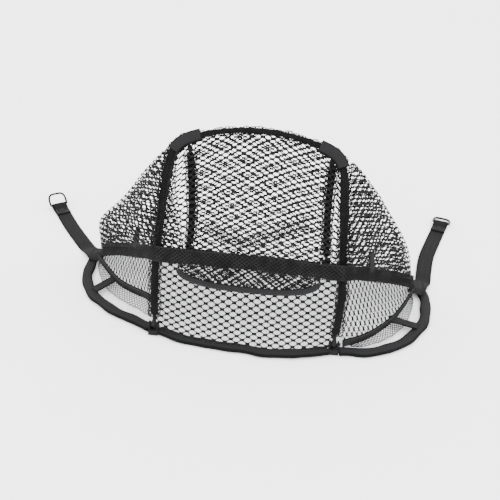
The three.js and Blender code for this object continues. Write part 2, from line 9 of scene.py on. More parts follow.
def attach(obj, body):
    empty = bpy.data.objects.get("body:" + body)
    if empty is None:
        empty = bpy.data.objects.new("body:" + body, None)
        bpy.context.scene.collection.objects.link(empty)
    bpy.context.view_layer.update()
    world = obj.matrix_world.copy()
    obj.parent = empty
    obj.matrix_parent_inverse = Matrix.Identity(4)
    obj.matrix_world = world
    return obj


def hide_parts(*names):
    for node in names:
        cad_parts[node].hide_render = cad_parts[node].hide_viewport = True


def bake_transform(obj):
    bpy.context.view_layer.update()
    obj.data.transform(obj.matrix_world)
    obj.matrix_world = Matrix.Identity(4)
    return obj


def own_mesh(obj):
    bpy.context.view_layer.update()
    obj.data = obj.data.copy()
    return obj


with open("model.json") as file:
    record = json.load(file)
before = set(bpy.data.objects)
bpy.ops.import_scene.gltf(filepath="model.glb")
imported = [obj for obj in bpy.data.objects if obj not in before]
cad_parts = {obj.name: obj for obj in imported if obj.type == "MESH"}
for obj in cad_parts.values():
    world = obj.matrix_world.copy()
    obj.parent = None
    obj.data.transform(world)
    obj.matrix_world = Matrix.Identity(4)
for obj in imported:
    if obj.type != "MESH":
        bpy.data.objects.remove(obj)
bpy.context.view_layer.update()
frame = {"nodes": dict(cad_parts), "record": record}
mm = 0.001
sides = {"left": -1, "right": 1}

# Camera

view = {
    "yaw": 4.3,
    "elevation": 33.0,
    "roll": 3.5,
    "distance": 1.006,
    "target": (-0.005, -0.003, 0.089),
    "lens": 50,
}


def addCamera():
    yaw, elevation, roll = (math.radians(view[key]) for key in ("yaw", "elevation", "roll"))
    back = Vector(
        (
            math.sin(yaw) * math.cos(elevation),
            -math.cos(yaw) * math.cos(elevation),
            math.sin(elevation),
        )
    )
    level = Vector((math.cos(yaw), math.sin(yaw), 0))
    upright = back.cross(level)
    right = level * math.cos(roll) + upright * math.sin(roll)
    up = back.cross(right)
    place = Vector(view["target"]) + back * view["distance"]
    bpy.ops.object.camera_add()
    camera = bpy.context.object
    camera.name = "camera"
    camera.data.lens = view["lens"]
    camera.data.sensor_width = 36
    turn = Matrix((right, up, back)).transposed().to_4x4()
    camera.matrix_world = Matrix.Translation(place) @ turn
    bpy.context.scene.camera = camera


addCamera()
print("camera placed")

# Materials


def addNode(material, kind, **settings):
    node = material.node_tree.nodes.new(kind)
    for key, value in settings.items():
        if key in node.inputs:
            node.inputs[key].default_value = value
        else:
            setattr(node, key, value)
    return node


def startMaterial(name, colour, roughness, metallic=0.0, specular=0.5):
    material = bpy.data.materials.new(name)
    material.use_nodes = True
    shader = material.node_tree.nodes["Principled BSDF"]
    shader.inputs["Base Color"].default_value = (*colour, 1)
    shader.inputs["Roughness"].default_value = roughness
    shader.inputs["Metallic"].default_value = metallic
    shader.inputs["Specular IOR Level"].default_value = specular
    return material, shader


def mottle(material, shader, scale, dark, light, spread=(0.35, 0.65)):
    links = material.node_tree.links
    coords = addNode(material, "ShaderNodeTexCoord")
    noise = addNode(material, "ShaderNodeTexNoise", Scale=scale, Detail=4.0, Roughness=0.6)
    ramp = addNode(material, "ShaderNodeValToRGB")
    ramp.color_ramp.elements[0].position = spread[0]
    ramp.color_ramp.elements[1].position = spread[1]
    ramp.color_ramp.elements[0].color = (*dark, 1)
    ramp.color_ramp.elements[1].color = (*light, 1)
    links.new(coords.outputs["Object"], noise.inputs["Vector"])
    links.new(noise.outputs["Fac"], ramp.inputs["Fac"])
    links.new(ramp.outputs["Color"], shader.inputs["Base Color"])


def grainBump(material, shader, scale, strength, distance):
    links = material.node_tree.links
    coords = addNode(material, "ShaderNodeTexCoord")
    noise = addNode(material, "ShaderNodeTexNoise", Scale=scale, Detail=3.0, Roughness=0.6)
    bump = addNode(material, "ShaderNodeBump", Strength=strength, Distance=distance)
    links.new(coords.outputs["Object"], noise.inputs["Vector"])
    links.new(noise.outputs["Fac"], bump.inputs["Height"])
    links.new(bump.outputs["Normal"], shader.inputs["Normal"])


def makeTwine(name, dark, light):
    material, shader = startMaterial(name, light, 0.7, specular=0.12)
    mottle(material, shader, 60, dark, light)
    grainBump(material, shader, 1500, 0.5, 0.0003)
    return material


def makeWebbing(name, centre, edge, pitch):
    material, shader = startMaterial(name, centre, 0.8, specular=0.1)
    links = material.node_tree.links
    coords = addNode(material, "ShaderNodeTexCoord")
    ribs = addNode(material, "ShaderNodeTexWave", Scale=0.314 / pitch, Distortion=0.6, Detail=1.0)
    ribs.bands_direction = "X"
    rows = addNode(material, "ShaderNodeTexWave", Scale=0.157 / pitch, Distortion=0.4, Detail=1.0)
    rows.bands_direction = "Y"
    weave = addNode(material, "ShaderNodeMath", operation="MULTIPLY")
    bump = addNode(material, "ShaderNodeBump", Strength=0.7, Distance=0.0005)
    # painted shade: the tape's colour darkens towards both side edges, following the "edge" attribute
    edgeShade = addNode(material, "ShaderNodeAttribute", attribute_name="edge")
    ramp = addNode(material, "ShaderNodeValToRGB")
    ramp.color_ramp.elements[0].position = 0.62
    ramp.color_ramp.elements[1].position = 0.9
    ramp.color_ramp.elements[0].color = (*centre, 1)
    ramp.color_ramp.elements[1].color = (*edge, 1)
    links.new(coords.outputs["UV"], ribs.inputs["Vector"])
    links.new(coords.outputs["UV"], rows.inputs["Vector"])
    links.new(ribs.outputs["Fac"], weave.inputs[0])
    links.new(rows.outputs["Fac"], weave.inputs[1])
    links.new(weave.outputs["Value"], bump.inputs["Height"])
    links.new(bump.outputs["Normal"], shader.inputs["Normal"])
    links.new(edgeShade.outputs["Fac"], ramp.inputs["Fac"])
    links.new(ramp.outputs["Color"], shader.inputs["Base Color"])
    return material


def makeSolid(name, colour, roughness, metallic, grain, depth):
    material, shader = startMaterial(name, colour, roughness, metallic, specular=0.1)
    lighter = tuple(2 * c for c in colour)
    mottle(material, shader, 180, colour, lighter)
    grainBump(material, shader, grain, 0.35, depth)
    return material


netTwine = makeTwine("netTwine", (0.001, 0.001, 0.001), (0.004, 0.004, 0.0043))
denseTwine = makeTwine("denseTwine", (0.003, 0.003, 0.0032), (0.014, 0.014, 0.015))
fineTwine = makeTwine("fineTwine", (0.2, 0.21, 0.22), (0.3, 0.31, 0.32))
# painted shade: near-black cloth for the sleeve cores and the band backing
paintedShadeCloth = makeTwine("paintedShadeCloth", (0.0005, 0.0005, 0.0005), (0.0015, 0.0015, 0.0015))
# the second colour of each tape is the painted shade at its side edges
bindingTape = makeWebbing("bindingTape", (0.009, 0.009, 0.0096), (0.0005, 0.0005, 0.0005), 0.0013)
strapWebbing = makeWebbing("strapWebbing", (0.0035, 0.0035, 0.0038), (0.0004, 0.0004, 0.0004), 0.0016)
stitchThread = makeTwine("stitchThread", (0.03, 0.03, 0.032), (0.06, 0.06, 0.064))
blackWire = makeSolid("blackWire", (0.003, 0.003, 0.0032), 0.45, 0.0, 900, 0.00008)
mouldedNylon = makeSolid("mouldedNylon", (0.003, 0.003, 0.0033), 0.6, 0.0, 700, 0.0001)
blackNickel = makeSolid("blackNickel", (0.004, 0.004, 0.0045), 0.3, 0.15, 500, 0.00004)
print("materials made")

# Lines, sweeps and nets: lengths in millimetres, turned to metres when points are set


def smoothLine(points, closed=False, perSpan=16):
    given = [np.array(p, float) for p in points]
    count = len(given)
    if closed:
        knots = [given[-1], *given, given[0], given[1]]
    else:
        knots = [2 * given[0] - given[1], *given, 2 * given[-1] - given[-2]]
    spans = count if closed else count - 1
    path = []
    for i in range(spans):
        a, b, c, d = knots[i : i + 4]
        before, here, after = (
            max(float(np.sum((q - p) ** 2)) ** 0.25, 1e-4) for p, q in ((a, b), (b, c), (c, d))
        )
        leave = ((b - a) / before - (c - a) / (before + here) + (c - b) / here) * here
        arrive = ((c - b) / here - (d - b) / (here + after) + (d - c) / after) * here
        t = np.linspace(0, 1, perSpan, endpoint=False)[:, None]
        path.append(
            b
            + leave * t
            + (-3 * b + 3 * c - 2 * leave - arrive) * t**2
            + (2 * b - 2 * c + leave + arrive) * t**3
        )
    path = np.vstack([*path, knots[spans + 1][None]])
    run = np.concatenate([[0], np.cumsum(np.linalg.norm(np.diff(path, axis=0), axis=1))])
    return {"path": path, "run": run, "length": run[-1], "closed": closed}


def lineAt(line, share):
    share = np.asarray(share, float)
    share = share % 1.0 if line["closed"] else share
    run = share * line["length"]
    spots = [np.interp(run, line["run"], line["path"][:, k]) for k in range(3)]
    return np.stack(spots, -1)


def headingAt(line, share):
    near = 0.003
    share = np.asarray(share, float)
    low = share - near if line["closed"] else np.clip(share - near, 0, 1)
    high = share + near if line["closed"] else np.clip(share + near, 0, 1)
    return unit(lineAt(line, high) - lineAt(line, low))


def unit(vectors):
    return vectors / np.maximum(np.linalg.norm(vectors, axis=-1, keepdims=True), 1e-9)


def spot(x, y, z):
    return np.stack(np.broadcast_arrays(x, y, z), -1).astype(float)


def startGrid(name, columns, rows):
    bpy.ops.object.select_all(action="DESELECT")
    bpy.ops.mesh.primitive_grid_add(
        x_subdivisions=columns, y_subdivisions=rows, size=2, calc_uvs=True
    )
    piece = bpy.context.object
    piece.name = name
    piece.data.name = name
    return piece


def gridShares(piece):
    flat = np.empty(len(piece.data.vertices) * 3)
    piece.data.vertices.foreach_get("co", flat)
    flat = flat.reshape(-1, 3)
    return (flat[:, 0] + 1) / 2, (flat[:, 1] + 1) / 2


def setPoints(piece, points):
    piece.data.vertices.foreach_set("co", (points * mm).ravel())
    piece.data.update()


def scaleUv(piece, width, height):
    layer = piece.data.uv_layers.active.data
    uv = np.empty(len(layer) * 2)
    layer.foreach_get("uv", uv)
    uv = uv.reshape(-1, 2) * np.array([width, height]) * mm
    layer.foreach_set("uv", uv.ravel())


def mergePoints(piece, reach=0.00001):
    bpy.context.view_layer.objects.active = piece
    bpy.ops.object.mode_set(mode="EDIT")
    bpy.ops.mesh.select_all(action="SELECT")
    bpy.ops.mesh.remove_doubles(threshold=reach)
    bpy.ops.mesh.normals_make_consistent(inside=False)
    bpy.ops.object.mode_set(mode="OBJECT")


def applyModifiers(piece):
    bpy.context.view_layer.objects.active = piece
    for modifier in list(piece.modifiers):
        bpy.ops.object.modifier_apply(modifier=modifier.name)


def smoothFaces(piece, degrees=None):
    bpy.ops.object.select_all(action="DESELECT")
    piece.select_set(True)
    bpy.context.view_layer.objects.active = piece
    if degrees is None:
        bpy.ops.object.shade_smooth()
    else:
        bpy.ops.object.shade_smooth_by_angle(angle=math.radians(degrees))


def setMaterial(piece, material):
    piece.data.materials.clear()
    piece.data.materials.append(material)


def joinPieces(name, pieces):
    bpy.ops.object.select_all(action="DESELECT")
    for piece in pieces:
        piece.select_set(True)
    bpy.context.view_layer.objects.active = pieces[0]
    bpy.ops.object.join()
    piece = bpy.context.object
    piece.name = name
    piece.data.name = name
    return piece


facesAround = 16  # of a tape's section


def addTape(name, line, start, end, width, height, steps, material, **shape):
    boxy = shape.get("boxy", 0.45)
    piece = startGrid(name, steps, facesAround)
    u, v = gridShares(piece)
    column = u * steps
    along = np.clip((column - 1) / (steps - 2), 0, 1)
    size = np.where((column < 0.5) | (column > steps - 0.5), 0.0, 1.0)  # closed ends
    share = start + (end - start) * along
    centre = lineAt(line, share)
    ahead = headingAt(line, share)
    if "widthway" in shape:
        hint = np.broadcast_to(np.array(shape["widthway"], float), ahead.shape)
        normal = unit(np.cross(hint, ahead))
    else:
        normal = np.broadcast_to(np.array(shape.get("normal", (0, 0, 1)), float), ahead.shape)
    across = unit(np.cross(ahead, normal))
    lift = unit(np.cross(across, ahead))
    turn = 2 * np.pi * v
    wide = np.sign(np.cos(turn)) * np.abs(np.cos(turn)) ** boxy
    high = np.sign(np.sin(turn)) * np.abs(np.sin(turn)) ** boxy
    swell = shape["swell"](share) if "swell" in shape else np.ones_like(share)
    slide, rise = shape["sway"](share) if "sway" in shape else (0 * share, 0 * share)
    out = (wide * size * width / 2 * swell + slide)[:, None] * across
    up = (high * size * height / 2 + rise)[:, None] * lift
    scaleUv(piece, line["length"] * abs(end - start), 2 * (width + height))
    # "edge" runs from 0 mid-width to 1 at the sides; the webbing materials paint shade along it
    edge = piece.data.attributes.new("edge", "FLOAT", "POINT")
    edge.data.foreach_set("value", np.abs(wide).astype(np.float32))
    setPoints(piece, centre + out + up)
    mergePoints(piece)
    setMaterial(piece, material)
    smoothFaces(piece, 50)
    return piece


def addNet(name, columns, rows, place, thread, material, keep=None, rounded=True, even=True):
    piece = startGrid(name, columns, rows)
    corners = len(piece.data.vertices)
    bpy.ops.object.mode_set(mode="EDIT")
    bpy.ops.mesh.select_all(action="SELECT")
    bpy.ops.mesh.poke()
    bpy.ops.mesh.select_mode(type="EDGE")
    bpy.ops.mesh.select_all(action="DESELECT")
    bpy.ops.object.mode_set(mode="OBJECT")
    mesh = piece.data
    u, v = gridShares(piece)
    rim = (u < 1e-5) | (u > 1 - 1e-5)
    brim = (v < 1e-5) | (v > 1 - 1e-5)
    for edge in mesh.edges:
        a, b = edge.vertices
        onRim = (rim[a] and rim[b]) or (brim[a] and brim[b])
        edge.select = a < corners and b < corners and not onRim
    bpy.ops.object.mode_set(mode="EDIT")
    bpy.ops.mesh.dissolve_edges(use_verts=False)
    bpy.ops.object.mode_set(mode="OBJECT")
    u, v = gridShares(piece)
    if keep is not None:
        kept = keep(u, v)
        for part in (*mesh.vertices, *mesh.edges, *mesh.polygons):
            part.select = False
        for face in mesh.polygons:
            face.select = not any(kept[i] for i in face.vertices)
        bpy.ops.object.mode_set(mode="EDIT")
        bpy.ops.mesh.select_mode(type="FACE")
        bpy.ops.mesh.delete(type="FACE")
        bpy.ops.object.mode_set(mode="OBJECT")
        u, v = gridShares(piece)
    setPoints(piece, place(u, v))
    strand = piece.modifiers.new("strand", "WIREFRAME")
    strand.thickness = thread * mm
    strand.use_even_offset = even
    strand.use_relative_offset = False
    strand.use_boundary = True
    strand.offset = 0
    if rounded:
        rounding = piece.modifiers.new("rounding", "SUBSURF")
        rounding.levels = 1
        rounding.render_levels = 1
    applyModifiers(piece)
    setMaterial(piece, material)
    smoothFaces(piece)
    return piece


def sleeveNet(name, line, start, end, width, height, cell, material, normal, ruffle=0.8):
    length = line["length"] * abs(end - start)
    girth = math.pi * (width + height) / 2
    columns, rows = round(length / cell[0]), round(girth / cell[1])

    def place(u, v):
        share = start + (end - start) * u
        ahead = headingAt(line, share)
        across = unit(np.cross(ahead, np.broadcast_to(np.array(normal, float), ahead.shape)))
        lift = unit(np.cross(across, ahead))
        turn = 2 * np.pi * v
        wave = np.sin(u * length / 3.1 + 3 * turn) + np.sin(u * length / 7.3 - 2 * turn)
        wave = ruffle * (wave + np.sin(u * length / 1.9 + 5 * turn))
        out = ((width / 2 + wave) * np.cos(turn))[:, None] * across
        return lineAt(line, share) + out + ((height / 2 + wave) * np.sin(turn))[:, None] * lift

    return addNet(name, columns, rows, place, 0.78, material, rounded=False)


def coneNet(name, apex, foot, near, far, cell, thread, material, swell, turn=0.0):
    footLine = smoothLine(foot)
    apex = np.array(apex, float)
    marks = np.linspace(0, 1, 80)
    rays = lineAt(footLine, marks) - apex
    reach = np.linalg.norm(rays, axis=1)
    steps = np.arccos(np.clip(np.sum(unit(rays[1:]) * unit(rays[:-1]), axis=1), -1, 1))
    angle = np.concatenate([[0], np.cumsum(steps)])
    lean = turn - angle[-1] / 2
    flat = np.stack([reach * np.cos(angle + lean), reach * np.sin(angle + lean)], 1)
    low = np.minimum(flat.min(0), 0) - 1
    high = flat.max(0) + 1
    columns, rows = (max(2, round(float(high[k] - low[k]) / cell[k])) for k in (0, 1))

    def unroll(u, v):
        x = low[0] + (high[0] - low[0]) * u
        y = low[1] + (high[1] - low[1]) * v
        spin = np.arctan2(y, x) - lean
        spin = (spin + np.pi) % (2 * np.pi) - np.pi
        rim = np.interp(spin, angle, reach)
        return np.hypot(x, y) / rim, spin

    def keep(u, v):
        share, spin = unroll(u, v)
        return (share > near) & (share < far) & (spin > 0) & (spin < angle[-1])

    def place(u, v):
        share, spin = unroll(u, v)
        share = np.clip(share, near, far)
        mark = np.interp(spin, angle, marks)
        point = apex + (lineAt(footLine, mark) - apex) * share[:, None]
        return point + swell(mark, share)

    return addNet(name, columns, rows, place, thread, material, keep=keep, even=False)


stitch = {"radius": 0.4, "length": 2.5, "pitch": 4.2}


def makeStitch():
    bpy.ops.object.select_all(action="DESELECT")
    bpy.ops.mesh.primitive_cylinder_add(
        vertices=6, radius=stitch["radius"] * mm, depth=stitch["length"] * mm
    )
    piece = bpy.context.object
    piece.name = "stitch"
    ends = piece.modifiers.new("ends", "BEVEL")
    ends.width = 0.00018
    ends.segments = 1
    applyModifiers(piece)
    setMaterial(piece, stitchThread)
    return piece


def sewn(piece, spots, headings):
    # lays one stitch at each spot, along its heading, and joins them to the piece
    pattern = makeStitch()
    made = []
    for place, heading in zip(spots, headings):
        copy = pattern.copy()
        copy.data = pattern.data.copy()
        turn = Vector(heading).to_track_quat("Z", "Y").to_matrix().to_4x4()
        copy.data.transform(Matrix.Translation(Vector(place) * mm) @ turn)
        bpy.context.scene.collection.objects.link(copy)
        made.append(copy)
    bpy.data.objects.remove(pattern)
    return joinPieces(piece.name, [piece, *made])


def seamAlong(line, start, end, slide, rise, **shape):
    count = max(2, int(line["length"] * (end - start) / stitch["pitch"]))
    share = np.linspace(start, end, count)
    ahead = headingAt(line, share)
    if "widthway" in shape:
        hint = np.broadcast_to(np.array(shape["widthway"], float), ahead.shape)
        normal = unit(np.cross(hint, ahead))
    else:
        normal = np.broadcast_to(np.array(shape.get("normal", (0, 0, 1)), float), ahead.shape)
    across = unit(np.cross(ahead, normal))
    lift = unit(np.cross(across, ahead))
    shift, raised = shape["sway"](share) if "sway" in shape else (0 * share, 0 * share)
    aside = across * (slide + shift)[:, None]
    above = lift * (rise + raised)[:, None]
    return lineAt(line, share) + aside + above, ahead


# Lines shared by the pieces, as the frame has them

bowFoot = (-102, 14)
bowLean = (0.5077, 0.8615)
bowNormal = (0, -bowLean[1], bowLean[0])
rodFoot = (103, 14)
rodLean = (-0.319, 0.9478)
rodNormal = (0, -rodLean[1], rodLean[0])


def onBow(x, s):
    return spot(x, bowFoot[0] + bowLean[0] * s, bowFoot[1] + bowLean[1] * s)


def onRod(x, s):
    return spot(x, rodFoot[0] + rodLean[0] * s, rodFoot[1] + rodLean[1] * s)


bowOutline = (
    (126, 3), (128, 62), (127.5, 135), (125, 185), (121, 225), (116, 243), (107, 255),
    (90, 264), (48, 276), (0, 281),
)
rodOutline = ((112, 3), (108, 42), (103.5, 100), (101, 160), (100, 219.5))
hoopPlan = (
    (0, -122), (62, -119), (126, -103), (172, -95), (207, -80), (239, -50), (256, -14),
    (262, 24), (260, 64), (247, 84), (221, 94), (186, 99), (148, 102), (112, 103), (50, 103),
    (0, 102), (-50, 103), (-112, 103), (-148, 102), (-186, 99), (-221, 94), (-247, 84),
    (-260, 64), (-262, 24), (-253, -12), (-231, -42), (-199, -69), (-165, -87), (-126, -102),
    (-62, -118),
)
bowLine = smoothLine(
    [onBow(x, s) for x, s in bowOutline] + [onBow(-x, s) for x, s in bowOutline[-2::-1]]
)
hoopLine = smoothLine([(x, y, 3.5) for x, y in hoopPlan], closed=True)
sleeveRight = (
    (126, 3), (130, 62), (124.5, 135), (120, 185), (116.5, 225), (113, 243), (105, 255),
    (90, 264), (48, 276),
)
sleeveLeft = (
    (125, 3), (130.5, 62), (131.5, 135), (129.5, 185), (126.5, 225), (121, 244), (110, 257),
    (92, 266), (48, 277),
)
sleeveLine = smoothLine(
    [onBow(x, s) for x, s in sleeveRight] + [onBow(0, 281)]
    + [onBow(-x, s) for x, s in sleeveLeft[::-1]]
)
rodLines = {
    side: smoothLine([onRod(sign * x, s) for x, s in rodOutline]) for side, sign in sides.items()
}
bandHalf = ((-246, 57, 22), (-195, 9, 60), (-151, -39, 92), (-127, -64, 106), (-60, -68, 110))
bandLine = smoothLine(
    [*bandHalf, (0, -69, 112), *[(-x, y, z) for x, y, z in reversed(bandHalf)]]
)
bandAcross = (0, 0.36, 0.93)


def archHeight(x):
    reach = np.abs(x)
    wide = [p[0] for p in reversed(bowOutline[3:])]
    tall = [p[1] for p in reversed(bowOutline[3:])]
    return np.interp(reach, wide, tall)


def shareNear(line, x, y):
    gaps = np.hypot(line["path"][:, 0] - x, line["path"][:, 1] - y)
    return line["run"][int(np.argmin(gaps))] / line["length"]


def finishSoft(piece, slot, *nodes):
    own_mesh(piece)
    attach(piece, "base")
    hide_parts(*nodes)
    return piece


def finishBending(piece, slot, bend, *nodes):
    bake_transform(piece)
    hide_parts(*nodes)
    return piece


def finishRigid(piece, body, slot, *nodes):
    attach(piece, body)
    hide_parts(*nodes)
    return piece


print("lines ready")

# Wire, pins, clips and rings

metalwork = {
    "round": ("front_bow", "left_prop_rod", "right_prop_rod", "left_ring", "right_ring"),
    "bevelled": (
        "front_left_hinge_clip", "front_right_hinge_clip", "back_left_hinge_clip",
        "back_right_hinge_clip", "left_prop_tip", "right_prop_tip",
    ),
    "bevelWidth": 0.0007, "ringFullness": 0.0005, "wireFullness": 0.0002,
}


def copyNode(name):
    source = frame["nodes"][name]
    bpy.ops.object.select_all(action="DESELECT")
    source.select_set(True)
    bpy.context.view_layer.objects.active = source
    bpy.ops.object.duplicate()
    piece = bpy.context.object
    piece.parent = None
    piece.matrix_world = Matrix.Identity(4)
    for key in [key for key in piece.keys() if key.startswith("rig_")]:
        del piece[key]
    piece.name = name + ".made"
    mergePoints(piece)
    return piece


def bodyOf(node):
    for body, members in frame["record"]["behaviour"]["bodies"].items():
        if node in members:
            return body


for node in metalwork["round"]:
    piece = copyNode(node)
    rounding = piece.modifiers.new("rounding", "SUBSURF")
    rounding.levels = 1
    rounding.render_levels = 1
    fullness = piece.modifiers.new("fullness", "DISPLACE")
    fullness.mid_level = 0
    isRing = node.endswith("_ring")
    fullness.strength = metalwork["ringFullness"] if isRing else metalwork["wireFullness"]
    applyModifiers(piece)
    smoothFaces(piece)
    setMaterial(piece, blackNickel if isRing else blackWire)
    finishRigid(piece, bodyOf(node), "ring_metal" if isRing else "wire", node)
for node in metalwork["bevelled"]:
    piece = copyNode(node)
    rounding = piece.modifiers.new("rounding", "BEVEL")
    rounding.width = metalwork["bevelWidth"]
    rounding.segments = 2
    rounding.limit_method = "ANGLE"
    applyModifiers(piece)
    smoothFaces(piece, 40)
    setMaterial(piece, mouldedNylon)
    finishRigid(piece, bodyOf(node), "clip_plastic", node)
for node in frame["nodes"]:
    if node.endswith("_wire") or node.endswith("_pin") or node.endswith("_ferrule"):
        setMaterial(frame["nodes"][node], blackWire)
print("wire and clips made")

# Binding round the base hoop

hem = {
    "width": 16, "height": 6.4, "clipGap": 7.8, "cornerGap": 0.3, "lift": 0.7, "slide": 1.2,
    "skew": 5,
}
clipSpots = {"fr": (126, -102), "fl": (-126, -102), "br": (112, 103), "bl": (-112, 103)}
cornerSpots = {"r": (260, 64), "l": (-260, 64)}
hemRuns = {
    "front_hem": (clipSpots["fl"], clipSpots["fr"], hem["clipGap"], hem["clipGap"]),
    "right_hem": (clipSpots["fr"], cornerSpots["r"], hem["clipGap"], hem["cornerGap"]),
    "back_right_hem": (cornerSpots["r"], clipSpots["br"], hem["cornerGap"], hem["clipGap"]),
    "back_hem": (clipSpots["br"], clipSpots["bl"], hem["clipGap"], hem["clipGap"]),
    "back_left_hem": (clipSpots["bl"], cornerSpots["l"], hem["clipGap"], hem["cornerGap"]),
    "left_hem": (cornerSpots["l"], clipSpots["fl"], hem["cornerGap"], hem["clipGap"]),
}


def hemSway(share):
    length = hoopLine["length"]
    slide = np.sin(share * length / 23) + 0.6 * np.sin(share * length / 9.1 + 1)
    rise = 0.5 * np.sin(share * length / 17 + 2) + 0.5 * np.sin(share * length / 41)
    around = 2 * np.pi * (share - shareNear(hoopLine, 0, -122))
    skew = hem["skew"] * np.sin(around) * np.maximum(np.cos(around / 2) ** 2, 0)
    return hem["slide"] * slide + skew, hem["lift"] * rise


def hemSwell(share):
    return 1 + 0.06 * np.sin(share * hoopLine["length"] / 6.3)


for node, (begin, finish, firstGap, lastGap) in hemRuns.items():
    start = shareNear(hoopLine, *begin) + firstGap / hoopLine["length"]
    end = shareNear(hoopLine, *finish) - lastGap / hoopLine["length"]
    if end < start:
        end += 1
    steps = round((end - start) * hoopLine["length"] / 4)
    piece = addTape(
        node + ".made", hoopLine, start, end, hem["width"], hem["height"], steps,
        bindingTape, sway=hemSway, swell=hemSwell, boxy=0.6,
    )
    piece = sewn(piece, *seamAlong(hoopLine, start, end, -5.2, 2.25, sway=hemSway))
    finishRigid(piece, "base", "webbing", node)
print("hem made")

# Sleeves round the bow and the rods: gathered netting over a near-black core, which paints the shade
# inside the sleeve

sleeve = {
    "width": 17, "height": 9, "cell": (5.0, 4.2), "coreWidth": 10.5, "coreHeight": 4.6,
    "crownWidth": 10, "crownHeight": 8,
}
sleeveRuns = {
    "front_right_sleeve": ("front_bow", sleeveLine, 0.5 / 44, 16 / 44, bowNormal, 1),
    "front_top_sleeve": ("front_bow", sleeveLine, 16 / 44, 28 / 44, bowNormal, 0),
    "front_left_sleeve": ("front_bow", sleeveLine, 28 / 44, 43.5 / 44, bowNormal, 1),
    "left_prop_sleeve": ("left_prop", rodLines["left"], 0.05, 0.97, rodNormal, 1),
    "right_prop_sleeve": ("right_prop", rodLines["right"], 0.05, 0.97, rodNormal, 1),
}
for node, (body, line, start, end, normal, isLeg) in sleeveRuns.items():
    width = sleeve["width"] if isLeg else sleeve["crownWidth"]
    height = sleeve["height"] if isLeg else sleeve["crownHeight"]
    outer = sleeveNet(
        node + ".net", line, start, end, width, height, sleeve["cell"], netTwine, normal
    )
    # painted shade: a near-black core stands for the dark inside of the netting sleeve
    core = addTape(
        node + ".core", line, start + 0.003, end - 0.003, sleeve["coreWidth"] - 3 * (1 - isLeg),
        sleeve["coreHeight"] + 0.8, 60, paintedShadeCloth, normal=normal, boxy=0.8,
    )
    piece = joinPieces(node + ".made", [outer, core])
    finishRigid(piece, body, "net", node)
for side, (start, end) in {"right": (0.325, 0.385), "left": (0.612, 0.672)}.items():
    node = side + "_corner_patch"
    piece = addTape(
        node + ".made", sleeveLine, start, end, 18, 12.5, 18, bindingTape, normal=bowNormal, boxy=0.7
    )
    finishRigid(piece, "front_bow", "webbing", node)
print("sleeves made")

# Net panels

netCell = (15.6, 9.4)
twine = {"lower": 0.37, "hood": 0.62, "side": 0.56, "lowerSide": 0.44, "pocket": 0.42}
lowerFront = {"halfWidth": 124, "swell": 3}


def ripple(x, y, amount):
    return amount * (np.sin(x / 17 + y / 29) + 0.6 * np.sin(x / 41 - y / 13 + 1.3))


def lowerFrontPoint(x, v):
    foot = spot(x, -119 + 0.00105 * x * x, 8.4 + 0 * x)
    head = spot(x, -70.5 + 0.0004 * x * x, 98 - 0.0003 * x * x)
    point = foot + (head - foot) * v[:, None]
    bulge = lowerFront["swell"] * np.sin(np.pi * np.clip(v, 0, 1))
    return point + spot(0, -bulge, -bulge / 3)


def placeLowerFront(u, v):
    x = lowerFront["halfWidth"] * (2 * u - 1)
    point = lowerFrontPoint(x, -0.03 + 1.12 * v)
    return point + spot(0, ripple(x, 90 * v, 0.8), 0)


piece = addNet("lower_front_net.made", 16, 11, placeLowerFront, twine["lower"], netTwine)
finishBending(piece, "net", "front", "lower_front_net")

hoodFront = {"halfWidth": 121, "lowest": 100, "forward": 19}


def placeHoodFront(u, v):
    x = hoodFront["halfWidth"] * (2 * u - 1)
    x = x * (1 - 0.035 * v * v)
    s = hoodFront["lowest"] + (archHeight(x) - 3 - hoodFront["lowest"]) * v
    point = onBow(x, s)
    forward = hoodFront["forward"] * (1 - v) ** 2 + ripple(x, 170 * v, 1.2)
    return point - spot(0, forward, 0)


piece = addNet("hood_front_net.made", 15, 19, placeHoodFront, twine["hood"], netTwine)
finishRigid(piece, "front_bow", "net", "hood_front_net")

backWall = {"footHalf": 120, "headHalf": 106, "bulge": 7}


def backPoint(x, v):
    foot = spot(x, 106 + 0 * x, 7 + 0 * x)
    head = onBow(x * 0.9, archHeight(x * 0.9)) + spot(0, 5 + 0.0008 * x * x, 0)
    point = foot + (head - foot) * v[:, None]
    return point + spot(0, backWall["bulge"] * np.sqrt(np.sin(np.pi * np.clip(v, 0, 1))), 0)


def placeBack(u, v):
    half = backWall["footHalf"] + (backWall["headHalf"] - backWall["footHalf"]) * v
    x = half * (2 * u - 1)
    return backPoint(x, v) + spot(0, ripple(x, 250 * v, 1.6), 0)


piece = addNet("back_net.made", 15, 27, placeBack, twine["hood"], netTwine)
finishBending(piece, "net", "back", "back_net")

